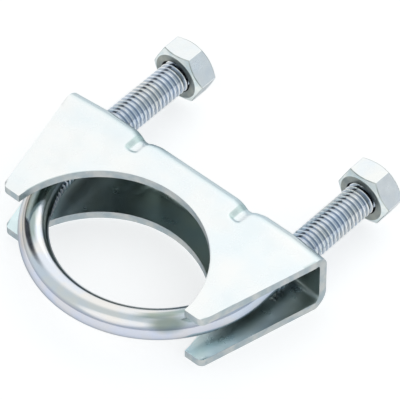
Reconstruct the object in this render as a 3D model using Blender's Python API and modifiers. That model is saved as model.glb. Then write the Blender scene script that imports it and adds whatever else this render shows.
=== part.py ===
"""Exhaust clamp: a threaded U-bolt, a pressed sheet-steel saddle and two hexagon nuts, all zinc plated.

The clamp lies on its side. +Z is the axis of the pipe it grips, +X runs from the left leg to the right
leg, and +Y runs along the legs from the bow to the nuts. The origin is under the middle of the clamp, on
the surface it lies on. All sizes are in metres.
"""

import math

import bmesh
import bpy
from mathutils import Matrix, Vector

# The pipe and the rod
pipe_diameter = 0.0490
rod_diameter = 0.0070
thread_diameter = 0.0079
thread_pitch = 0.00125
thread_depth = 0.00068
thread_crest = 0.00015             # width of the flat along the thread's crest
thread_run_out = 0.0015            # the thread sinks into the plain rod over this length
thread_chamfer = 0.0009
bow_setback = 0.0200               # from the pipe's axis to the middle of the bow
leg_length = 0.0439                # straight part of a leg, from the bow to its end
left_thread_wrap = math.radians(35)  # the left leg's thread runs on this far along the inside of the bow
left_thread_stop = math.radians(4)  # and only this far along the outside of the bow
left_thread_slant = 7              # the greater, the narrower the strip of thread inside the bow

# The saddle
sheet = 0.0021
arc_clearance = 0.0003             # the saddle's arcs are this much larger than the pipe
side_gap = 0.00195                 # between a leg and the flange beside it
bend_radius = 0.0036               # outside of the bends
throat = 0.0101                    # from the top of an arc to the outside of the web
hump_drop = 0.0002                 # the middle of the web is this much lower than the nuts' seats
seat_fall = 0.0008                 # the web's ends are this much lower than the nuts' seats
valley_place = 0.0155
valley_depth = 0.0009
valley_half_width = 0.0045
dart_depth = 0.0005                # a dart is pressed into each bend beside a valley
dart_length = 0.0032
dart_floor = 0.0008                # width of the flat along the middle of a dart
dart_half_width = 0.00215
dart_ramp = 0.0014
tip_height = 0.0011                # the wings' tips end this far above the pipe's axis
tip_width = 0.0048
tip_rounding = 0.0016
seat_margin = 0.0093               # from a leg's axis to the end of the web
hole_clearance = 0.0005            # all round a leg in the web
edge_break = 0.00014               # sheared edges of the sheet

# The nuts
nut_across_flats = 0.0130
nut_height = 0.0065
nut_face_diameter = 0.0116
nut_chamfer_angle = math.radians(30)
nut_bore_clearance = 0.0003
nut_countersink = 0.0006
thread_past_nut = 0.0007           # a leg's end stands this far out of its nut
left_nut_turn = math.radians(4.2)
right_nut_turn = math.radians(3.8)

# Fineness of the shapes
bow_step = math.radians(5)
rod_sides = 20
thread_sides = 12
weld_distance = 0.000002
nut_steps = 36
hole_sides = 32
column_step = 0.0019               # between the columns of the saddle's faces
valley_column_step = 0.0006
tip_step = 0.0018
tip_corner_step = math.radians(25)
flange_rows = 3
dart_rows = 5
bend_rows = 5
web_rows = 2

# Sizes that follow
pipe_radius = pipe_diameter / 2
rod_radius = rod_diameter / 2
thread_radius = thread_diameter / 2
bow_radius = pipe_radius + rod_radius
leg_x = bow_radius
leg_end = bow_setback + leg_length
arc_radius = pipe_radius + arc_clearance
seat_height = arc_radius + throat
channel_height = thread_diameter + 2 * (side_gap + sheet)
web_end = leg_x + seat_margin
nut_face = leg_end - thread_past_nut - nut_height
left_thread_inside = leg_length + left_thread_wrap * bow_radius
left_thread_outside = leg_length + left_thread_stop * bow_radius

# The clamp's middle along Y lies over the origin, and its lower flange lies on z = 0.
axis_y = -(leg_end + bow_setback - bow_radius - rod_radius) / 2
axis_z = channel_height / 2


def clear_scene():
    for old in list(bpy.data.objects):
        bpy.data.objects.remove(old)


def new_collection(name):
    collection = bpy.data.collections.new(name)
    bpy.context.scene.collection.children.link(collection)
    return collection


def zinc(name, colour, roughness):
    material = bpy.data.materials.new(name)
    material.use_nodes = True
    shader = material.node_tree.nodes["Principled BSDF"]
    shader.inputs["Base Color"].default_value = (*colour, 1.0)
    shader.inputs["Metallic"].default_value = 1.0
    shader.inputs["Roughness"].default_value = roughness
    return material


def add_object(name, data, collection, material=None):
    piece = bpy.data.objects.new(name, data)
    collection.objects.link(piece)
    if material:
        data.materials.append(material)
    return piece


def add_prism_cutter(name, collection, radius, height, sides, turn=0.0):
    """A closed prism about the legs' direction, with its first corner turned from +Z."""
    mesh = bpy.data.meshes.new(name)
    bm = bmesh.new()
    bmesh.ops.create_cone(
        bm,
        cap_ends=True,
        segments=sides,
        radius1=radius,
        radius2=radius,
        depth=height,
        matrix=Matrix.Rotation(turn, 4, "Z"),
    )
    bm.to_mesh(mesh)
    bm.free()
    cutter = add_object(name, mesh, collection)
    cutter.rotation_euler = (-math.pi / 2, 0, 0)
    cutter.hide_render = True
    cutter.display_type = "WIRE"
    return cutter


def add_boolean(piece, cutter, operation):
    modifier = piece.modifiers.new(cutter.name, "BOOLEAN")
    modifier.operation = operation
    modifier.object = cutter


def spaced(start, end, step):
    """Evenly spaced values from start up to but not including end, about a step apart."""
    count = max(1, round(abs(end - start) / step))
    return [start + (end - start) * i / count for i in range(count)]


def rounded_step(value):
    """Rises smoothly from 0 to 1 as the value goes from 0 to 1."""
    value = min(1.0, max(0.0, value))
    return value * value * (3 - 2 * value)


def web_height(x):
    """The outside of the web: a hump in the middle, a valley either side of it, then the nuts' seats."""
    hump = hump_drop * rounded_step((valley_place + valley_half_width - x) / (2 * valley_half_width))
    fall = seat_fall * max(0.0, x - leg_x) / seat_margin
    valley = valley_depth * rounded_step(1 - abs(x - valley_place) / valley_half_width)
    return seat_height - hump - fall - valley


def dart_at(x):
    """How deep the dart is across its width: a narrow floor between two rounded walls."""
    wall = dart_half_width - dart_floor / 2
    return dart_depth * rounded_step((dart_half_width - abs(x - valley_place)) / wall)


def tip_points(inner_x):
    """A wing's lower edge from the end of the arc, along the tip and round its outer corner."""
    outer_x = inner_x + tip_width
    side_lean = math.atan2(web_end - outer_x, seat_height - seat_fall - bend_radius - tip_height)
    corner_turn = math.pi / 2 - side_lean
    rounding_x = outer_x - tip_rounding * math.tan(corner_turn / 2)
    points = [(x, tip_height) for x in spaced(inner_x, rounding_x, tip_step)]
    for angle in spaced(0.0, corner_turn, tip_corner_step) + [corner_turn]:
        x = rounding_x + tip_rounding * math.sin(angle)
        points.append((x, tip_height + tip_rounding * (1 - math.cos(angle))))
    return points


def flange_columns():
    """Points along half of a flange's lower edge, each with the place on the web that it runs up to."""
    arc_end = math.acos(tip_height / arc_radius)
    near = valley_place - valley_half_width
    far = valley_place + valley_half_width
    places = spaced(0.0, near, column_step) + spaced(near, far, valley_column_step)
    places += spaced(far, leg_x, column_step)
    columns = []
    for x in places:
        angle = arc_end * x / leg_x
        columns.append(((arc_radius * math.sin(angle), arc_radius * math.cos(angle)), x))
    tip = tip_points(arc_radius * math.sin(arc_end))
    for i, point in enumerate(tip):
        columns.append((point, leg_x + seat_margin * i / (len(tip) - 1)))
    return columns


def flange_heights(edge_y, bend_start):
    """Heights of a column's points from the flange's lower edge to its bend, closest along the dart."""
    dart_start = bend_start - dart_length
    plain = spaced(edge_y, dart_start, (dart_start - edge_y) / flange_rows)
    return plain + spaced(dart_start, bend_start, dart_length / dart_rows) + [bend_start]


def saddle_mesh():
    """One quarter of the saddle's outside: half of a wing and flange, its bend, and half the web's height."""
    top = channel_height / 2
    bm = bmesh.new()
    columns = []
    for (edge_x, edge_y), x in flange_columns():
        bend_start = web_height(x) - bend_radius
        column = []
        for y in flange_heights(edge_y, bend_start):
            column_x = edge_x + (x - edge_x) * (y - edge_y) / (bend_start - edge_y)
            ramp = rounded_step((dart_length - bend_start + y) / dart_ramp)
            column.append(bm.verts.new((column_x, y, top - ramp * dart_at(column_x))))
        for i in range(1, bend_rows + 1):
            angle = math.pi / 2 * i / bend_rows
            reach = bend_radius - dart_at(x) * math.cos(angle)
            bend_y = bend_start + reach * math.sin(angle)
            column.append(bm.verts.new((x, bend_y, top - bend_radius + reach * math.cos(angle))))
        for i in range(1, web_rows + 1):
            z = (top - bend_radius) * (1 - i / web_rows)
            column.append(bm.verts.new((x, bend_start + bend_radius, z)))
        columns.append(column)
    for left, right in zip(columns, columns[1:]):
        for i in range(len(left) - 1):
            bm.faces.new((left[i], right[i], right[i + 1], left[i + 1]))
    mesh = bpy.data.meshes.new("saddle")
    bm.to_mesh(mesh)
    bm.free()
    return mesh


def make_saddle(parts, cutters):
    """The yoke: one steel sheet folded to a channel, with a pipe arc cut in each flange."""
    saddle = add_object("saddle", saddle_mesh(), parts, zinc("saddle_zinc", (0.78, 0.84, 0.84), 0.28))
    saddle.location = (0, axis_y, axis_z)
    mirror = saddle.modifiers.new("other_half_and_flange", "MIRROR")
    mirror.use_axis = (True, False, True)
    mirror.merge_threshold = 0.00001
    shell = saddle.modifiers.new("sheet", "SOLIDIFY")
    shell.thickness = sheet
    shell.offset = -1
    shell.use_even_offset = True
    shell.use_quality_normals = True
    broken = saddle.modifiers.new("broken_edges", "BEVEL")
    broken.width = edge_break
    broken.segments = 1
    broken.limit_method = "ANGLE"
    broken.angle_limit = math.radians(60)
    for side, x in (("left", -leg_x), ("right", leg_x)):
        cutter = add_prism_cutter(
            "leg_hole_" + side, cutters, thread_radius + hole_clearance, 6 * sheet, hole_sides
        )
        cutter.location = (x, axis_y + seat_height - sheet / 2, axis_z)
        add_boolean(saddle, cutter, "DIFFERENCE")
    saddle.data.shade_smooth()
    saddle.data.set_sharp_from_angle(angle=math.radians(40))


def threaded_bar(length):
    """A bar along +Z with a right-hand thread, cut off flat at z = 0 and open at z = length."""
    root = thread_radius - thread_depth
    crest_start = (thread_pitch - thread_crest) / 2
    crest_end = crest_start + thread_crest
    section = ((root, 0.0), (thread_radius, crest_start), (thread_radius, crest_end), (root, thread_pitch))
    spare_turns = 2
    turns = math.ceil(length / thread_pitch) + spare_turns
    bm = bmesh.new()
    corners = [bm.verts.new((radius, 0, z - spare_turns * thread_pitch)) for radius, z in section]
    edges = [bm.edges.new(pair) for pair in zip(corners, corners[1:])]
    bmesh.ops.spin(
        bm,
        geom=corners + edges,
        axis=(0, 0, 1),
        dvec=(0, 0, thread_pitch / thread_sides),
        angle=2 * math.pi * turns,
        steps=turns * thread_sides,
    )
    bmesh.ops.remove_doubles(bm, verts=bm.verts, dist=weld_distance)
    for height, outward in ((0.0, -1), (length, 1)):
        bmesh.ops.bisect_plane(
            bm,
            geom=bm.verts[:] + bm.edges[:] + bm.faces[:],
            dist=weld_distance,
            plane_co=(0, 0, height),
            plane_no=(0, 0, outward),
            clear_outer=True,
        )
    bmesh.ops.edgeloop_fill(bm, edges=open_edges(bm, 0.0))
    return bm


def open_edges(bm, height):
    """The edges of the hole that a bar along Z has at this height."""
    return [edge for edge in bm.edges if edge.is_boundary and abs(edge.verts[0].co.z - height) < weld_distance]


def shape_thread_ends(bm, inside, outside):
    """Chamfers the bar's end at z = 0 and lets its thread sink into the plain rod at the other.

    The thread is as long as inside on the side that comes to lie inside the bow, at -X, and as long as
    outside over the rest of the bar.
    """
    for vert in bm.verts:
        radius = math.hypot(vert.co.x, vert.co.y)
        inward = 0.5 - 0.5 * vert.co.x / radius
        thread_end = outside + (inside - outside) * inward ** left_thread_slant
        formed = min(1.0, max(0.0, (thread_end - vert.co.z) / thread_run_out))
        wanted = min(rod_radius + (radius - rod_radius) * formed, thread_radius - thread_chamfer + vert.co.z)
        vert.co.x *= wanted / radius
        vert.co.y *= wanted / radius


def lay_along_leg(point, side):
    """Where a point of the straight bar comes to lie on the left (-1) or right (1) leg, or round the bow."""
    bow_angle = max(0.0, point.z - leg_length) / bow_radius
    along = min(point.z, leg_length)
    reach = bow_radius + point.x
    return Vector((
        side * reach * math.cos(bow_angle),
        leg_end - along - reach * math.sin(bow_angle),
        side * point.y,
    ))


def add_leg(bm, inside, outside, side):
    """Adds a threaded leg, as long as its thread is inside the bow, and returns the edges of its open end."""
    bar = threaded_bar(inside)
    shape_thread_ends(bar, inside, outside)
    open_end = {vert.index for edge in open_edges(bar, inside) for vert in edge.verts}
    copies = [bm.verts.new(lay_along_leg(vert.co, side)) for vert in bar.verts]
    for face in bar.faces:
        bm.faces.new([copies[vert.index] for vert in face.verts])
    bar.free()
    rim = {copies[i] for i in open_end}
    return [edge for edge in bm.edges if edge.is_boundary and rim.issuperset(edge.verts)]


def add_bow(bm, start, end):
    """Adds the plain bow between two angles about its middle and returns the edges round its two ends."""
    across = Matrix.Rotation(math.pi / 2, 4, "X")
    place = Matrix.Rotation(start, 4, "Z") @ Matrix.Translation((-bow_radius, 0, 0)) @ across
    centre = Matrix.Translation((0, bow_setback, 0))
    circle = bmesh.ops.create_circle(bm, segments=rod_sides, radius=rod_radius, matrix=centre @ place)
    first = list({edge for vert in circle["verts"] for edge in vert.link_edges})
    swept = bmesh.ops.spin(
        bm,
        geom=circle["verts"] + first,
        cent=(0, bow_setback, 0),
        axis=(0, 0, 1),
        angle=end - start,
        steps=round((end - start) / bow_step),
    )
    return first, [item for item in swept["geom_last"] if isinstance(item, bmesh.types.BMEdge)]


def make_u_bolt(parts):
    """A round rod threaded at both ends and bent to a U. The left leg's thread runs on inside the bow."""
    bm = bmesh.new()
    left_end = add_leg(bm, left_thread_inside, left_thread_outside, -1)
    right_end = add_leg(bm, leg_length, leg_length, 1)
    bow_start, bow_end = add_bow(bm, left_thread_wrap + bow_step, math.pi - bow_step)
    bmesh.ops.bridge_loops(bm, edges=left_end + bow_start)
    bmesh.ops.bridge_loops(bm, edges=right_end + bow_end)
    bmesh.ops.recalc_face_normals(bm, faces=bm.faces)
    mesh = bpy.data.meshes.new("u_bolt")
    bm.to_mesh(mesh)
    bm.free()
    mesh.shade_smooth()
    mesh.set_sharp_from_angle(angle=math.radians(30))
    bolt = add_object("u_bolt", mesh, parts, zinc("rod_zinc", (0.72, 0.74, 0.78), 0.18))
    bolt.location = (0, axis_y, axis_z)


def nut_profile_mesh(name):
    """The turned half section of a nut about Z: bore, countersinks, faces and 30 degree chamfers."""
    bore = thread_radius + nut_bore_clearance
    face = nut_face_diameter / 2
    outside = nut_across_flats / math.sqrt(3) * 1.1
    drop = (outside - face) * math.tan(nut_chamfer_angle)
    section = [
        (outside, nut_height - drop),
        (outside, drop),
        (face, 0.0),
        (bore + nut_countersink, 0.0),
        (bore, nut_countersink),
        (bore, nut_height - nut_countersink),
        (bore + nut_countersink, nut_height),
        (face, nut_height),
    ]
    mesh = bpy.data.meshes.new(name)
    edges = [(i, (i + 1) % len(section)) for i in range(len(section))]
    mesh.from_pydata([(radius, 0, z) for radius, z in section], edges, [])
    return mesh


def make_nut(name, x, turn, parts, cutters):
    """A plain hexagon nut, chamfered on both faces, out near the end of its leg."""
    nut = add_object(name, nut_profile_mesh(name), parts, zinc(name + "_zinc", (0.80, 0.84, 0.88), 0.22))
    nut.location = (x, axis_y + nut_face, axis_z)
    nut.rotation_euler = (-math.pi / 2, 0, 0)
    turned = nut.modifiers.new("turned", "SCREW")
    turned.steps = turned.render_steps = nut_steps
    turned.use_merge_vertices = True
    turned.merge_threshold = 0.00001
    corner_radius = nut_across_flats / math.sqrt(3)
    flats = add_prism_cutter(name + "_flats", cutters, corner_radius, 3 * nut_height, 6, math.pi / 6 - turn)
    flats.location = nut.location
    add_boolean(nut, flats, "INTERSECT")


clear_scene()
clamp = new_collection("exhaust_clamp")
cutters = new_collection("cutters")
make_saddle(clamp, cutters)
make_u_bolt(clamp)
make_nut("nut_left", -leg_x, left_nut_turn, clamp, cutters)
make_nut("nut_right", leg_x, right_nut_turn, clamp, cutters)
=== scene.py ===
import math

import bmesh
import bpy
from mathutils import Matrix, Vector


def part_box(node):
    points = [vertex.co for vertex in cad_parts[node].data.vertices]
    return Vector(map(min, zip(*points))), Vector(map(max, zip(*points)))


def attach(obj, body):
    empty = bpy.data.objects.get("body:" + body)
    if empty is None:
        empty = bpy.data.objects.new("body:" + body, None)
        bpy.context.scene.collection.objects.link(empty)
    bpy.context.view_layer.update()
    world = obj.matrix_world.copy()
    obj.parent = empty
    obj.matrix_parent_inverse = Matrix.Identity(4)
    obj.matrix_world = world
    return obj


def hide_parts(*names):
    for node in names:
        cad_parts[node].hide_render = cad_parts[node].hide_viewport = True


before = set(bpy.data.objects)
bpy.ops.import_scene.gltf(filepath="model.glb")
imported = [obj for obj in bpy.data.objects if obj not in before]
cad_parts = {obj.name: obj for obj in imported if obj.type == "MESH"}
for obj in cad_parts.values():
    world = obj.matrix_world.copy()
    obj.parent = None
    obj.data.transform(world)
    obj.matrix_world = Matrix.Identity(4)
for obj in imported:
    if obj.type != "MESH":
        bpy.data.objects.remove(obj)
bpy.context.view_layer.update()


# The U-bolt is one drawn steel rod. A coarse right-hand thread is rolled on both ends, which swells them
# a little past the plain rod, then the rod is bent cold round a former and zinc plated bright.

bolt_low, bolt_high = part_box("u_bolt")
thread_radius = (bolt_high[2] - bolt_low[2]) / 2
rod_radius = 0.0035
thread_pitch = 0.00125
thread_depth = 0.00058
thread_form = ((0.0, 0.0), (0.2, 0.02), (0.42, 0.82), (0.47, 1.0), (0.53, 1.0), (0.58, 0.82), (0.8, 0.02), (1.0, 0.0))
thread_sides = 48
thread_run_out = 0.0018
thread_chamfer = 0.0009
left_thread_wrap_outside = math.radians(3)
left_thread_wrap_inside = math.radians(36)
longest_side = math.radians(152)
slant_sharpness = 7
weld = 0.000002
rod_sharp_edge = math.radians(50)
leg_x = bolt_high[0] - thread_radius
bow_radius = leg_x
bow_y = bolt_low[1] + rod_radius + bow_radius
axis_z = (bolt_low[2] + bolt_high[2]) / 2
leg_length = bolt_high[1] - bow_y
rod_length = 2 * leg_length + math.pi * bow_radius
bare_rod_at_right = 0.004
right_thread_start = rod_length - leg_length + bare_rod_at_right

# Colours painted on the bow for light and shade, with a darker spot, and the span of the bow and the part of the
# rod's girth that each covers, in degrees. A span gives where the tone starts and over how much it grows, then where
# it ends and over how much it fades. The inner and the outer side are given by the cosine at which they start, and
# over how much of it they grow.
# Painted shade on the inside of the bow, standing for the dark channel that it reflects.
inner_shade_tone = (0.25, 0.27, 0.28)
inner_shade_side = (0.68, 0.22)
inner_shade_span = (5, 10, 80, 16)
# Painted shade on the outer side of the bow, a darker reflection of the floor.
outer_shade_tone = (0.76, 0.77, 0.84)
outer_shade_middle = 4
outer_shade_side = (0.76, 0.14)
outer_shade_span = (34, 16, 168, 16)
# A painted dark reflection: a band that winds along the bow's left half.
dark_reflection_tone = (0.46, 0.54, 0.50)
dark_reflection_line = (122, -0.75)
dark_reflection_half_width = (17.6, 11)
dark_reflection_span = (6, 10, 62, 12)
# A darker spot on the bow's right half.
dark_spot_tone = (0.52, 0.57, 0.50)
dark_spot_place = (136, 47)
dark_spot_size = (7, 30)
dark_spot_edge = (1.5, 1)
# A painted warm reflection: a tan band across the bow's left half.
warm_reflection_tone = (0.86, 0.79, 0.70)
warm_reflection_line = (86, -0.85)
warm_reflection_half_width = (22.5, 15)
warm_reflection_middle = 40
warm_reflection_half_length = (25.2, 14)
# Painted shadow of the flanges over the bow's right end.
flange_shadow_tone = (0.66, 0.70, 0.76)
flange_shadow_span = (146, 28, 196, 8)


def settled_mesh(piece):
    """The piece's mesh with its modifiers carried out."""
    graph = bpy.context.evaluated_depsgraph_get()
    return bpy.data.meshes.new_from_object(piece.evaluated_get(graph))


def new_piece(name, mesh):
    piece = bpy.data.objects.new(name, mesh)
    bpy.context.scene.collection.objects.link(piece)
    return piece


def rolled_thread(name, crest, depth, length):
    """A thread along +Z from 0 to length, cut square and closed at both ends."""
    profile = bpy.data.meshes.new(name)
    spare_turns = 2
    points = [(crest - depth * (1 - rise), 0, thread_pitch * (share - spare_turns)) for share, rise in thread_form]
    profile.from_pydata(points, [(i, i + 1) for i in range(len(points) - 1)], [])
    guide = new_piece(name, profile)
    screw = guide.modifiers.new("thread", "SCREW")
    screw.screw_offset = thread_pitch
    screw.iterations = math.ceil(length / thread_pitch) + 2 * spare_turns
    screw.steps = screw.render_steps = thread_sides
    screw.use_merge_vertices = True
    screw.merge_threshold = weld
    bm = bmesh.new()
    bm.from_mesh(settled_mesh(guide))
    bpy.data.objects.remove(guide)
    bmesh.ops.remove_doubles(bm, verts=bm.verts, dist=weld)
    for height, outward in ((0.0, -1), (length, 1)):
        everything = bm.verts[:] + bm.edges[:] + bm.faces[:]
        bmesh.ops.bisect_plane(
            bm, geom=everything, dist=weld / 2, plane_co=(0, 0, height), plane_no=(0, 0, outward), clear_outer=True
        )
        rim = [edge for edge in bm.edges if edge.is_boundary and abs(edge.verts[0].co.z - height) < 5 * weld]
        bmesh.ops.edgeloop_fill(bm, edges=rim)
    bmesh.ops.recalc_face_normals(bm, faces=bm.faces)
    return bm


def full_thread(along, angle):
    """How fully the thread is formed, from 0 on the plain rod to 1. The left one ends aslant, on the bow."""
    reach = (0.5 + 0.5 * math.cos(angle - longest_side)) ** slant_sharpness
    wrap = left_thread_wrap_outside + (left_thread_wrap_inside - left_thread_wrap_outside) * reach
    from_left = (leg_length + wrap * bow_radius - along) / thread_run_out
    from_right = (along - right_thread_start) / thread_run_out
    return min(1.0, max(0.0, from_left, from_right))


def on_the_u(along):
    """The rod's middle at a distance from its left end, with the direction that points out of the U."""
    if along < leg_length:
        return Vector((-leg_x, bow_y + leg_length - along, axis_z)), Vector((-1, 0, 0))
    if along > rod_length - leg_length:
        return Vector((leg_x, bow_y + along - rod_length + leg_length, axis_z)), Vector((1, 0, 0))
    angle = (along - leg_length) / bow_radius
    outward = Vector((-math.cos(angle), -math.sin(angle), 0))
    return Vector((0, bow_y, axis_z)) + bow_radius * outward, outward


def rounded_step(value):
    value = min(1.0, max(0.0, value))
    return value * value * (3 - 2 * value)


def grown(value, start, width):
    return rounded_step((value - start) / width)


def faded(value, end, width):
    return rounded_step((end - value) / width)


def within(value, span):
    start, growth, end, fade = span
    return grown(value, start, growth) * faded(value, end, fade)


def off_line(line, along, around):
    """How far round the rod a point is from a line that winds slowly along it."""
    start, winding = line
    return abs(around - start - winding * along)


def painted_bend_shading(along, angle):
    """Colour painted on the bow for light and shade. Inside the bow it is painted shade, outside a darker painted
    reflection. Dark and warm bands of painted reflection wind between the two, one spot is darker, and the right end
    has the painted shadow of the flanges."""
    bow_angle = math.degrees((along - leg_length) / bow_radius)
    from_leg = min(bow_angle, 180 - bow_angle)
    around = -math.degrees(angle)
    painted_shade = grown(-math.cos(angle), *inner_shade_side) * within(from_leg, inner_shade_span)
    outer_side = grown(math.cos(math.radians(around - outer_shade_middle)), *outer_shade_side)
    outer_shade = outer_side * within(bow_angle, outer_shade_span)
    dark_reflection = faded(off_line(dark_reflection_line, from_leg, around), *dark_reflection_half_width) * within(from_leg, dark_reflection_span)
    dark_spot_distance = math.hypot((bow_angle - dark_spot_place[0]) / dark_spot_size[0], (around - dark_spot_place[1]) / dark_spot_size[1])
    pressed = faded(dark_spot_distance, *dark_spot_edge)
    warm = faded(off_line(warm_reflection_line, bow_angle, around), *warm_reflection_half_width)
    warm *= faded(abs(bow_angle - warm_reflection_middle), *warm_reflection_half_length)
    flange_shadow = within(bow_angle, flange_shadow_span)
    zones = (
        (painted_shade, inner_shade_tone), (outer_shade, outer_shade_tone), (dark_reflection, dark_reflection_tone),
        (pressed, dark_spot_tone), (warm, warm_reflection_tone), (flange_shadow, flange_shadow_tone),
    )
    tone = [1.0, 1.0, 1.0]
    for share, zone in zones:
        tone = [value * (1 + share * (shade - 1)) for value, shade in zip(tone, zone)]
    return (*tone, 1.0)


def bent_rod():
    bm = rolled_thread("u_bolt_rod", thread_radius, thread_depth, rod_length)
    crest_height = bm.verts.layers.float.new("crest_height")
    painted_shading = bm.verts.layers.float_color.new("painted_shading")
    for vert in bm.verts:
        along = vert.co.z
        angle = math.atan2(vert.co.y, vert.co.x)
        formed = full_thread(along, angle)
        radius = math.hypot(vert.co.x, vert.co.y)
        vert[crest_height] = 1 - formed * (thread_radius - radius) / thread_depth
        vert[painted_shading] = painted_bend_shading(along, angle)
        chamfer_limit = thread_radius - thread_chamfer + min(along, rod_length - along)
        radius = min(rod_radius + (radius - rod_radius) * formed, chamfer_limit)
        middle, outward = on_the_u(along)
        vert.co = middle + outward * radius * math.cos(angle) - Vector((0, 0, radius * math.sin(angle)))
    mesh = bpy.data.meshes.new("bent_rod")
    bm.to_mesh(mesh)
    bm.free()
    mesh.shade_smooth()
    mesh.set_sharp_from_angle(angle=rod_sharp_edge)
    return new_piece("bent_rod", mesh)


def add_noise(nodes, links, place, size, detail):
    noise = nodes.new("ShaderNodeTexNoise")
    noise.inputs["Scale"].default_value = 1 / size
    noise.inputs["Detail"].default_value = detail
    links.new(place.outputs["Object"], noise.inputs["Vector"])
    return noise


def shade_ramp(nodes, links, value, shades):
    """A colour that follows the value through the shades, each given with its place."""
    ramp = nodes.new("ShaderNodeValToRGB")
    elements = ramp.color_ramp.elements
    elements[0].position = shades[0][0]
    elements[1].position = shades[-1][0]
    for place, _ in shades[1:-1]:
        elements.new(place)
    for element, (_, colour) in zip(elements, shades):
        element.color = (*colour, 1)
    links.new(value, ramp.inputs["Fac"])
    return ramp.outputs["Color"]


def mixed(nodes, links, first, second, share=1.0, blend="MIX"):
    """Two colours mixed, each one a plain colour or what another node gives."""
    mix = nodes.new("ShaderNodeMix")
    mix.data_type = "RGBA"
    mix.blend_type = blend
    for socket, colour in (("A", first), ("B", second)):
        if isinstance(colour, tuple):
            mix.inputs[socket].default_value = (*colour, 1)
        else:
            links.new(colour, mix.inputs[socket])
    if isinstance(share, float):
        mix.inputs["Factor"].default_value = share
    else:
        links.new(share, mix.inputs["Factor"])
    return mix.outputs["Result"]


cloud_edges = (0.38, 0.62)
gloss_edges = (0.3, 0.7)
gloss_spread = (0.75, 1.3)
gloss_patch = 0.4
glancing_tint = (0.45, 0.48, 0.50)


def plated_steel(name, cool, warm, roughness, cloud_size, grain_size, grain_height):
    """Bright zinc: pale clouds of cool and warm tint, uneven gloss and a fine grain."""
    material = bpy.data.materials.new(name)
    material.use_nodes = True
    nodes = material.node_tree.nodes
    links = material.node_tree.links
    shader = nodes["Principled BSDF"]
    shader.inputs["Metallic"].default_value = 1.0
    shader.inputs["Specular Tint"].default_value = (*glancing_tint, 1)
    place = nodes.new("ShaderNodeTexCoord")
    clouds = add_noise(nodes, links, place, cloud_size, 3)
    tint = shade_ramp(nodes, links, clouds.outputs["Fac"], ((cloud_edges[0], cool), (cloud_edges[1], warm)))
    links.new(tint, shader.inputs["Base Color"])
    gloss = add_noise(nodes, links, place, cloud_size * gloss_patch, 4)
    spread = nodes.new("ShaderNodeMapRange")
    spread.inputs["From Min"].default_value = gloss_edges[0]
    spread.inputs["From Max"].default_value = gloss_edges[1]
    spread.inputs["To Min"].default_value = roughness * gloss_spread[0]
    spread.inputs["To Max"].default_value = roughness * gloss_spread[1]
    links.new(gloss.outputs["Fac"], spread.inputs["Value"])
    links.new(spread.outputs["Result"], shader.inputs["Roughness"])
    grain = add_noise(nodes, links, place, grain_size, 2)
    bump = nodes.new("ShaderNodeBump")
    bump.inputs["Distance"].default_value = grain_height
    bump.inputs["Strength"].default_value = 1.0
    links.new(grain.outputs["Fac"], bump.inputs["Height"])
    links.new(bump.outputs["Normal"], shader.inputs["Normal"])
    return material, nodes, links, tint


# Painted shade in the thread, darker in its roots and flanks than on its crests.
root_painted_shades = (
    (0.04, (0.60, 0.65, 0.71)), (0.20, (0.52, 0.57, 0.64)), (0.62, (0.58, 0.64, 0.70)), (0.86, (1.0, 1.0, 1.0)),
)


def rod_zinc():
    """Plating on the rod, with painted shade in the roots of the thread and the painted light and shade of the bow.
    """
    material, nodes, links, tint = plated_steel(
        "rod_zinc", cool=(0.80, 0.85, 0.92), warm=(0.88, 0.87, 0.84), roughness=0.13,
        cloud_size=0.006, grain_size=0.0009, grain_height=0.000004,
    )
    height = nodes.new("ShaderNodeAttribute")
    height.attribute_name = "crest_height"
    root = shade_ramp(nodes, links, height.outputs["Fac"], root_painted_shades)
    shaded = mixed(nodes, links, tint, root, blend="MULTIPLY")
    bend = nodes.new("ShaderNodeAttribute")
    bend.attribute_name = "painted_shading"
    toned = mixed(nodes, links, shaded, bend.outputs["Color"], blend="MULTIPLY")
    links.new(toned, nodes["Principled BSDF"].inputs["Base Color"])
    return material


bolt = bent_rod()
bolt.data.materials.append(rod_zinc())
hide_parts("u_bolt")
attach(bolt, "u_bolt")


# The saddle is one blank of sheet steel, blanked with the two pipe arcs in it, pressed to a channel with
# a dart across each bend for stiffness, pierced for the legs and zinc plated. Its cut edges are nearly square.

saddle_low, saddle_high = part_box("saddle")
sheet = 0.0021
bend_radius = 0.0036
arc_radius = 0.0248
tip_height = 0.0011
tip_width = 0.0048
tip_rounding = 0.0016
tip_step = math.radians(12)
hump_drop = 0.0002
seat_fall = 0.0008
valley_place = 0.0155
valley_depth = 0.0009
valley_half_width = 0.0045
dart_depth = 0.0005
dart_length = 0.0032
dart_floor = 0.0008
dart_half_width = 0.00215
dart_ramp = 0.0014
hole_clearance = 0.0005
hole_radius = thread_radius + hole_clearance
hole_sides = 64
cut_edge_rounding = 0.00022
cut_edge_angle = math.radians(60)
saddle_sharp_edge = math.radians(40)
tip_light_start = 0.004
tip_light_end = 0.021
web_end = saddle_high[0]
channel_half_height = (saddle_high[2] - saddle_low[2]) / 2
pipe_y = saddle_low[1] - tip_height
seat_height = saddle_high[1] - pipe_y
column_step = 0.0008
dart_column_step = 0.0003
dart_row_step = 0.0003
bend_rows = 10
flat_within = math.radians(0.02)
seam_weld = 0.00001
inner_face = 1
easing_reach = 0.0022
easing_passes = 45
longest_eased_edge = 0.001


def spaced(start, end, step):
    """Evenly spaced values from start up to but not including end, about a step apart."""
    count = max(1, round(abs(end - start) / step))
    return [start + (end - start) * i / count for i in range(count)]


def web_height(x):
    """The outside of the web over the pipe's axis: a hump, a valley either side of it, then the nuts' seats."""
    hump = hump_drop * rounded_step((valley_place + valley_half_width - x) / (2 * valley_half_width))
    fall = seat_fall * max(0.0, x - leg_x) / (web_end - leg_x)
    valley = valley_depth * rounded_step(1 - abs(x - valley_place) / valley_half_width)
    return seat_height - hump - fall - valley


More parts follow.
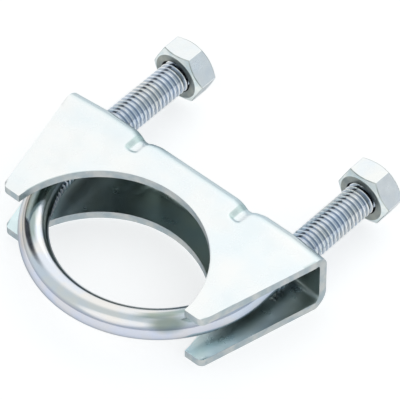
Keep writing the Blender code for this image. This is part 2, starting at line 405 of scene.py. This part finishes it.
def dart_share(x):
    """How deep the dart is across its width: a narrow floor between two rounded walls."""
    wall = dart_half_width - dart_floor / 2
    return rounded_step((dart_half_width - abs(x - valley_place)) / wall)


def flange_columns():
    """Points along half of a flange's lower edge, each with the place on the web that it runs up to."""
    arc_end = math.acos(tip_height / arc_radius)
    near = valley_place - valley_half_width
    far = valley_place + valley_half_width
    places = spaced(0.0, near, column_step) + spaced(near, far, dart_column_step) + spaced(far, leg_x, column_step)
    angles = [(arc_end * x / leg_x, x) for x in places]
    columns = [((arc_radius * math.sin(angle), arc_radius * math.cos(angle)), x) for angle, x in angles]
    inner_x = arc_radius * math.sin(arc_end)
    outer_x = inner_x + tip_width
    side_lean = math.atan2(web_end - outer_x, seat_height - seat_fall - bend_radius - tip_height)
    corner_turn = math.pi / 2 - side_lean
    rounding_x = outer_x - tip_rounding * math.tan(corner_turn / 2)
    tip = [(x, tip_height) for x in spaced(inner_x, rounding_x, column_step)]
    for angle in spaced(0.0, corner_turn, tip_step) + [corner_turn]:
        x = rounding_x + tip_rounding * math.sin(angle)
        tip.append((x, tip_height + tip_rounding * (1 - math.cos(angle))))
    for i, point in enumerate(tip):
        columns.append((point, leg_x + (web_end - leg_x) * i / (len(tip) - 1)))
    return columns


def quarter_saddle():
    """The outside of one quarter: half a flange with its wing, its bend, and half the web's height."""
    flange_rows = 14
    dart_rows = round(dart_length / dart_row_step)
    web_rows = 3
    bm = bmesh.new()
    columns = []
    for (edge_x, edge_y), x in flange_columns():
        bend_start = web_height(x) - bend_radius
        dart_start = bend_start - dart_length
        heights = [edge_y + (dart_start - edge_y) * i / flange_rows for i in range(flange_rows)]
        heights += [dart_start + dart_length * i / dart_rows for i in range(dart_rows + 1)]
        column = []
        for y in heights:
            column_x = edge_x + (x - edge_x) * (y - edge_y) / (bend_start - edge_y)
            pressed = dart_depth * dart_share(column_x) * rounded_step((y - dart_start) / dart_ramp)
            column.append((column_x, y, channel_half_height - pressed))
        for i in range(1, bend_rows + 1):
            angle = math.pi / 2 * i / bend_rows
            reach = bend_radius - dart_depth * dart_share(x) * math.cos(angle)
            bend_z = channel_half_height - bend_radius + reach * math.cos(angle)
            column.append((x, bend_start + reach * math.sin(angle), bend_z))
        for i in range(1, web_rows + 1):
            web_z = (channel_half_height - bend_radius) * (1 - i / web_rows)
            column.append((x, bend_start + bend_radius, web_z))
        columns.append([bm.verts.new(point) for point in column])
    for left, right in zip(columns, columns[1:]):
        for i in range(len(left) - 1):
            bm.faces.new((left[i], right[i], right[i + 1], left[i + 1]))
    bmesh.ops.dissolve_limit(bm, angle_limit=flat_within, verts=bm.verts, edges=bm.edges)
    mesh = bpy.data.meshes.new("pressed_saddle")
    bm.to_mesh(mesh)
    bm.free()
    return mesh


def add_cutter(name, radius, height, place):
    mesh = bpy.data.meshes.new(name)
    bm = bmesh.new()
    bmesh.ops.create_cone(bm, cap_ends=True, segments=hole_sides, radius1=radius, radius2=radius, depth=height)
    bm.to_mesh(mesh)
    bm.free()
    cutter = new_piece(name, mesh)
    cutter.rotation_euler = (-math.pi / 2, 0, 0)
    cutter.location = place
    return cutter


def settle(piece, *helpers):
    """Carries out the piece's modifiers and clears away what they used."""
    bpy.context.view_layer.update()
    mesh = settled_mesh(piece)
    piece.modifiers.clear()
    piece.data = mesh
    for helper in helpers:
        bpy.data.objects.remove(helper)


def smooth_faces(piece, sharp_angle):
    piece.data.shade_smooth()
    piece.data.set_sharp_from_angle(angle=sharp_angle)
    weighted = piece.modifiers.new("even_shading", "WEIGHTED_NORMAL")
    weighted.keep_sharp = True


def pressed_saddle():
    saddle = new_piece("pressed_saddle", quarter_saddle())
    saddle.location = (0, pipe_y, axis_z)
    mirror = saddle.modifiers.new("other_half_and_flange", "MIRROR")
    mirror.use_axis = (True, False, True)
    mirror.merge_threshold = seam_weld
    shell = saddle.modifiers.new("sheet", "SOLIDIFY")
    shell.thickness = sheet
    shell.offset = -1
    shell.use_even_offset = True
    shell.use_quality_normals = True
    shell.material_offset = 1
    shell.material_offset_rim = 2
    rounding = saddle.modifiers.new("cut_edges", "BEVEL")
    rounding.width = cut_edge_rounding
    rounding.segments = 2
    rounding.limit_method = "ANGLE"
    rounding.angle_limit = cut_edge_angle
    cutters = []
    for side in (-1, 1):
        place = (side * leg_x, pipe_y + seat_height - sheet / 2, axis_z)
        cutters.append(add_cutter("leg_hole", hole_radius, 5 * sheet, place))
        hole = saddle.modifiers.new("leg_hole", "BOOLEAN")
        hole.object = cutters[-1]
    return saddle, cutters


def ease_darts(mesh):
    """Evens out the inner face at the darts, whose walls are tighter than the sheet is thick."""
    bm = bmesh.new()
    bm.from_mesh(mesh)
    lowest = pipe_y + seat_height - bend_radius - valley_depth - dart_length - easing_reach
    eased = []
    for vert in bm.verts:
        near = abs(abs(vert.co.x) - valley_place) < dart_half_width + easing_reach and vert.co.y > lowest
        inside = all(face.material_index == inner_face for face in vert.link_faces)
        if near and inside and all(edge.calc_length() < longest_eased_edge for edge in vert.link_edges):
            eased.append(vert)
    for _ in range(easing_passes):
        bmesh.ops.smooth_vert(bm, verts=eased, factor=0.5, use_axis_x=True, use_axis_y=True, use_axis_z=True)
    bm.to_mesh(mesh)
    bm.free()


# Painted shade on the outer faces, set by the way each one faces: darker round the bends and on the web.
bend_painted_shades = (
    (0.03, (1.0, 1.0, 1.0)), (0.28, (0.88, 0.94, 0.95)), (0.62, (0.81, 0.88, 0.90)),
    (0.82, (0.72, 0.78, 0.79)), (0.98, (0.88, 0.90, 0.90)),
)
# Painted shade on the dart's steep side, which faces away from the light: how far it leans, and its tone.
dart_wall_lean = (0.04, 0.22)
dart_wall_painted_shade = (0.63, 0.71, 0.69)


def outer_zinc():
    """Plating on the outer faces, with painted shade round the bends and on the dart's steep side."""
    material, nodes, links, tint = plated_steel(
        "saddle_zinc", cool=(0.89, 0.96, 0.98), warm=(0.96, 0.98, 0.97), roughness=0.26,
        cloud_size=0.014, grain_size=0.0007, grain_height=0.000006,
    )
    split = nodes.new("ShaderNodeSeparateXYZ")
    links.new(nodes["Texture Coordinate"].outputs["Normal"], split.inputs["Vector"])
    bend = shade_ramp(nodes, links, split.outputs["Y"], bend_painted_shades)
    shaded = mixed(nodes, links, tint, bend, blend="MULTIPLY")
    dart_wall = nodes.new("ShaderNodeMath")
    dart_wall.operation = "MULTIPLY"
    links.new(split.outputs["X"], dart_wall.inputs[0])
    links.new(split.outputs["Z"], dart_wall.inputs[1])
    painted_shade = nodes.new("ShaderNodeMapRange")
    painted_shade.inputs["From Min"].default_value = dart_wall_lean[0]
    painted_shade.inputs["From Max"].default_value = dart_wall_lean[1]
    links.new(dart_wall.outputs[0], painted_shade.inputs["Value"])
    whole = mixed(nodes, links, shaded, dart_wall_painted_shade, share=painted_shade.outputs["Result"], blend="MULTIPLY")
    links.new(whole, nodes["Principled BSDF"].inputs["Base Color"])
    return material


# Painted light on the lower wings' tips, a bright reflection that grows towards them.
tip_painted_light = (0.82, 0.97, 0.99)
tip_light_edge = 0.001


def channel_zinc():
    """Plating on the inner faces, dark as painted shade in the channel, with painted light at the lower wings' tips.
    """
    # The dark tints are painted shade inside the channel.
    material, nodes, links, tint = plated_steel(
        "channel_zinc", cool=(0.42, 0.50, 0.51), warm=(0.47, 0.53, 0.49), roughness=0.32,
        cloud_size=0.010, grain_size=0.0012, grain_height=0.000002,
    )
    split = nodes.new("ShaderNodeSeparateXYZ")
    links.new(nodes["Texture Coordinate"].outputs["Object"], split.inputs["Vector"])
    depth = nodes.new("ShaderNodeMapRange")
    depth.interpolation_type = "SMOOTHSTEP"
    depth.inputs["From Min"].default_value = pipe_y + tip_light_end
    depth.inputs["From Max"].default_value = pipe_y + tip_light_start
    links.new(split.outputs["Y"], depth.inputs["Value"])
    lower = nodes.new("ShaderNodeMapRange")
    lower.inputs["From Min"].default_value = axis_z + tip_light_edge
    lower.inputs["From Max"].default_value = axis_z - tip_light_edge
    links.new(split.outputs["Z"], lower.inputs["Value"])
    tip_light = nodes.new("ShaderNodeMath")
    tip_light.operation = "MULTIPLY"
    links.new(depth.outputs["Result"], tip_light.inputs[0])
    links.new(lower.outputs["Result"], tip_light.inputs[1])
    shaded = mixed(nodes, links, tint, tip_painted_light, share=tip_light.outputs[0])
    links.new(shaded, nodes["Principled BSDF"].inputs["Base Color"])
    return material


saddle, hole_cutters = pressed_saddle()
outside_zinc = outer_zinc()
inside_zinc = channel_zinc()
cut_zinc = plated_steel(
    "cut_edge_zinc", cool=(0.44, 0.51, 0.54), warm=(0.60, 0.62, 0.61), roughness=0.34,
    cloud_size=0.003, grain_size=0.0003, grain_height=0.000012,
)[0]
for material in (outside_zinc, inside_zinc, cut_zinc):
    saddle.data.materials.append(material)
settle(saddle, *hole_cutters)
saddle.data.transform(Matrix.Translation(saddle.location))
saddle.location = (0, 0, 0)
ease_darts(saddle.data)
smooth_faces(saddle, saddle_sharp_edge)
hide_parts("saddle")
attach(saddle, "saddle")


# The two nuts are plain cold-formed hexagons, turned to a 30 degree chamfer on both faces, countersunk,
# tapped to the bolt's thread and plated bright. They stand out near the legs' ends, not yet run down.

nut_across_flats = 0.0130
nut_face_diameter = 0.0116
nut_chamfer = math.radians(30)
nut_countersink = 0.0003
countersink_slope = 1.7
tap_clearance = 0.00012
tap_depth = 0.0002
nut_edge_rounding = 0.00015
nut_edge_angle = math.radians(25)
nut_sharp_edge = math.radians(28)
turned_steps = 96
blank_allowance = 1.1
bearing_steepness = 0.9
chamfer_steepness = 0.8
flat_steepness = 0.15
nut_turn = {"nut_left": math.radians(4.2), "nut_right": math.radians(3.8)}


def turned_blank(name, height, corner_angle):
    """The nut's turned form about Z, wide enough for the hexagon, whose corners fall between two of its steps."""
    face = nut_face_diameter / 2
    outside = nut_across_flats / math.sqrt(3) * blank_allowance
    drop = (outside - face) * math.tan(nut_chamfer)
    section = [(0, height), (face, height), (outside, height - drop), (outside, drop), (face, 0), (0, 0)]
    mesh = bpy.data.meshes.new(name)
    mesh.from_pydata([(radius, 0, z) for radius, z in section], [(i, i + 1) for i in range(len(section) - 1)], [])
    mesh.transform(Matrix.Rotation(corner_angle + math.pi / turned_steps, 4, "Z"))
    blank = new_piece(name, mesh)
    turned = blank.modifiers.new("turned", "SCREW")
    turned.steps = turned.render_steps = turned_steps
    turned.use_merge_vertices = True
    turned.merge_threshold = seam_weld
    return blank


def tap(name, height):
    """What the tap and countersinks take out of a nut. The thread stays clear of the bolt's, wherever the nut is."""
    spare = 0.001
    bm = rolled_thread(name, thread_radius + tap_clearance + tap_depth, tap_depth, height + 2 * spare)
    for vert in bm.verts:
        vert.co.z -= spare
        from_face = min(vert.co.z, height - vert.co.z)
        radius = math.hypot(vert.co.x, vert.co.y)
        countersink = thread_radius + tap_clearance + nut_countersink - max(0.0, from_face) * countersink_slope
        wanted = max(radius, countersink)
        if radius > 0:
            vert.co.x *= wanted / radius
            vert.co.y *= wanted / radius
    mesh = bpy.data.meshes.new(name)
    bm.to_mesh(mesh)
    bm.free()
    return new_piece(name, mesh)


def hexagon_nut(node):
    low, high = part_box(node)
    height = high[1] - low[1]
    nut = turned_blank(node + "_hexagon", height, -nut_turn[node])
    flats_mesh = bpy.data.meshes.new(node + "_flats")
    bm = bmesh.new()
    radius = nut_across_flats / math.sqrt(3)
    turn = Matrix.Rotation(math.pi / 6 - nut_turn[node], 4, "Z")
    bmesh.ops.create_cone(
        bm, cap_ends=True, segments=6, radius1=radius, radius2=radius, depth=4 * height, matrix=turn
    )
    bm.to_mesh(flats_mesh)
    bm.free()
    flats = new_piece(node + "_flats", flats_mesh)
    cut = nut.modifiers.new("flats", "BOOLEAN")
    cut.operation = "INTERSECT"
    cut.object = flats
    rounding = nut.modifiers.new("edges", "BEVEL")
    rounding.width = nut_edge_rounding
    rounding.segments = 2
    rounding.limit_method = "ANGLE"
    rounding.angle_limit = nut_edge_angle
    thread = tap(node + "_tap", height)
    bore = nut.modifiers.new("bore", "BOOLEAN")
    bore.object = thread
    settle(nut, flats, thread)
    middle_x = (low[0] + high[0]) / 2
    nut.data.transform(Matrix.Translation((middle_x, low[1], axis_z)) @ Matrix.Rotation(-math.pi / 2, 4, "X"))
    return nut


def nut_zone(face, middle_x):
    """A face's material: 0 for a flat, 1 for a chamfer, 2 for a bearing face, painted dark as a reflection, 3 for the
    bore, painted dark as shade, 4 for a darker edge.
    """
    radius = math.hypot(face.center.x - middle_x, face.center.z - axis_z)
    steepness = abs(face.normal.y)
    if radius < thread_radius + tap_clearance + nut_countersink:
        return 3
    if steepness > bearing_steepness:
        return 2
    if steepness > chamfer_steepness:
        return 1
    return 4 if steepness > flat_steepness else 0


nut_finishes_and_painted_shade = (
    plated_steel(
        "nut_zinc", cool=(0.88, 0.94, 0.97), warm=(0.95, 0.97, 0.95), roughness=0.22,
        cloud_size=0.007, grain_size=0.0006, grain_height=0.000006,
    )[0],
    plated_steel(
        "nut_chamfer_zinc", cool=(0.80, 0.88, 0.89), warm=(0.92, 0.95, 0.92), roughness=0.42,
        cloud_size=0.002, grain_size=0.0004, grain_height=0.000012,
    )[0],
    # Painted dark reflection on the nuts' bearing faces.
    plated_steel(
        "nut_face_zinc", cool=(0.25, 0.28, 0.28), warm=(0.36, 0.38, 0.35), roughness=0.34,
        cloud_size=0.003, grain_size=0.0003, grain_height=0.000012,
    )[0],
    # Painted shade in the nuts' threaded bores.
    plated_steel(
        "nut_bore_zinc", cool=(0.08, 0.09, 0.10), warm=(0.14, 0.14, 0.14), roughness=0.40,
        cloud_size=0.003, grain_size=0.0003, grain_height=0.000012,
    )[0],
    # A darker tint on the nuts' rounded edges.
    plated_steel(
        "nut_edge_zinc", cool=(0.40, 0.45, 0.43), warm=(0.66, 0.70, 0.66), roughness=0.38,
        cloud_size=0.0015, grain_size=0.0003, grain_height=0.000012,
    )[0],
)
for node in ("nut_left", "nut_right"):
    nut = hexagon_nut(node)
    nut.data.materials.clear()
    for zone_material in nut_finishes_and_painted_shade:
        nut.data.materials.append(zone_material)
    middle_x = (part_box(node)[0].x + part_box(node)[1].x) / 2
    for face in nut.data.polygons:
        face.material_index = nut_zone(face, middle_x)
    smooth_faces(nut, nut_sharp_edge)
    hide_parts(node)
    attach(nut, node)


# The clamp lies on a plain matt floor, which keeps a soft shadow of it. The floor glows to the eye and in
# reflections, so that it shows nearly white, and throws no other light from the glow.

floor_size = 3.0
floor_drop = 0.0002
floor_white = 0.55
floor_glow = 0.64


def shown_to_the_eye(nodes, links):
    """1 for what the camera sees, straight or in a mirror or a glass, and 0 for other light."""
    path = nodes.new("ShaderNodeLightPath")
    seen = nodes.new("ShaderNodeMath")
    seen.operation = "MAXIMUM"
    links.new(path.outputs["Is Camera Ray"], seen.inputs[0])
    links.new(path.outputs["Is Glossy Ray"], seen.inputs[1])
    through = nodes.new("ShaderNodeMath")
    through.operation = "MAXIMUM"
    links.new(seen.outputs[0], through.inputs[0])
    links.new(path.outputs["Is Transmission Ray"], through.inputs[1])
    return through.outputs[0]


def white_floor():
    material = bpy.data.materials.new("white_floor")
    material.use_nodes = True
    nodes = material.node_tree.nodes
    links = material.node_tree.links
    shader = nodes["Principled BSDF"]
    shader.inputs["Base Color"].default_value = (floor_white, floor_white, floor_white, 1)
    shader.inputs["Roughness"].default_value = 1.0
    shader.inputs["Specular IOR Level"].default_value = 0.0
    shader.inputs["Emission Color"].default_value = (1, 1, 1, 1)
    lift = nodes.new("ShaderNodeMath")
    lift.operation = "MULTIPLY"
    lift.inputs[1].default_value = floor_glow
    links.new(shown_to_the_eye(nodes, links), lift.inputs[0])
    links.new(lift.outputs[0], shader.inputs["Emission Strength"])
    return material


bpy.ops.mesh.primitive_plane_add(size=floor_size, location=(0, 0, -floor_drop))
floor = bpy.context.object
floor.name = "floor"
floor.data.materials.append(white_floor())


# The studio: a white ceiling, greyer on the camera's side, over grey walls, with a dark corner at the left, a
# small window in front and one broad soft lamp high at the back.

ceiling_white = (1.0, 1.0, 1.0)
wall_grey = (0.52, 0.56, 0.62)
dark_corner = (0.045, 0.05, 0.06)
dark_corner_azimuth = math.radians(174)
dark_corner_height = math.radians(33)
dark_corner_edge = (0.93, 0.985)
front_grey = (0.62, 0.68, 0.71)
white_azimuth = math.radians(120)
front_to_back = (0.1, 0.55)
wall_to_ceiling = (0.0, 0.36)
window_white = (1.0, 1.0, 1.0)
window_azimuth = math.radians(278)
window_height = math.radians(38)
window_edge = (0.88, 0.96)
lamp_power = 0.5
lamp_size = 0.9
lamp_place = (-0.06, 0.99, 0.99)


def world_share(nodes, links, value, start, end):
    """0 where the value is under start, 1 where it is over end, and smooth between them."""
    share = nodes.new("ShaderNodeMapRange")
    share.interpolation_type = "SMOOTHSTEP"
    share.inputs["From Min"].default_value = start
    share.inputs["From Max"].default_value = end
    links.new(value, share.inputs["Value"])
    return share.outputs["Result"]


def towards(nodes, links, place, azimuth, height):
    """How nearly a direction in the studio points to one at an azimuth and a height, 1 where it does."""
    nearness = nodes.new("ShaderNodeVectorMath")
    nearness.operation = "DOT_PRODUCT"
    nearness.inputs[1].default_value = (
        math.cos(azimuth) * math.cos(height), math.sin(azimuth) * math.cos(height), math.sin(height),
    )
    links.new(place.outputs["Generated"], nearness.inputs[0])
    return nearness.outputs["Value"]


def studio_world():
    world = bpy.data.worlds.new("studio")
    bpy.context.scene.world = world
    world.use_nodes = True
    nodes = world.node_tree.nodes
    links = world.node_tree.links
    place = nodes.new("ShaderNodeTexCoord")
    split = nodes.new("ShaderNodeSeparateXYZ")
    links.new(place.outputs["Generated"], split.inputs["Vector"])
    back = world_share(nodes, links, towards(nodes, links, place, white_azimuth, 0), *front_to_back)
    ceiling = mixed(nodes, links, front_grey, ceiling_white, share=back)
    height = world_share(nodes, links, split.outputs["Z"], *wall_to_ceiling)
    room = mixed(nodes, links, wall_grey, ceiling, share=height)
    towards_corner = towards(nodes, links, place, dark_corner_azimuth, dark_corner_height)
    room = mixed(nodes, links, room, dark_corner, share=world_share(nodes, links, towards_corner, *dark_corner_edge))
    towards_window = towards(nodes, links, place, window_azimuth, window_height)
    room = mixed(nodes, links, room, window_white, share=world_share(nodes, links, towards_window, *window_edge))
    path = nodes.new("ShaderNodeLightPath")
    whole = mixed(nodes, links, room, ceiling_white, share=path.outputs["Is Camera Ray"])
    links.new(whole, nodes["Background"].inputs["Color"])


def soft_lamp(name, place, size, power):
    lamp = bpy.data.lights.new(name, "AREA")
    lamp.size = size
    lamp.energy = power
    lamp_object = new_piece(name, lamp)
    lamp_object.location = place
    lamp_object.rotation_euler = (-Vector(place)).to_track_quat("-Z", "Y").to_euler()


studio_world()
soft_lamp("key_lamp", lamp_place, lamp_size, lamp_power)
bpy.context.scene.view_settings.view_transform = "Standard"


# The camera looks down on the clamp from the bow's right, as the photograph does, through a long lens. The
# clamp fills the picture's width.

view_azimuth = math.radians(41.8)
view_elevation = math.radians(48.7)
view_distance = 1.0205
view_target = Vector((0.0014, 0.0061, 0.0080))
focal_pixels = 4547
picture_pixels = 400

camera = bpy.data.cameras.new("camera")
camera.sensor_width = 36
camera.lens = focal_pixels * camera.sensor_width / picture_pixels
camera_object = new_piece("camera", camera)
towards_camera = Vector((
    math.sin(view_azimuth) * math.cos(view_elevation),
    -math.cos(view_azimuth) * math.cos(view_elevation),
    math.sin(view_elevation),
))
camera_object.location = view_target + view_distance * towards_camera
camera_object.rotation_euler = (-towards_camera).to_track_quat("-Z", "Y").to_euler()
bpy.context.scene.camera = camera_object
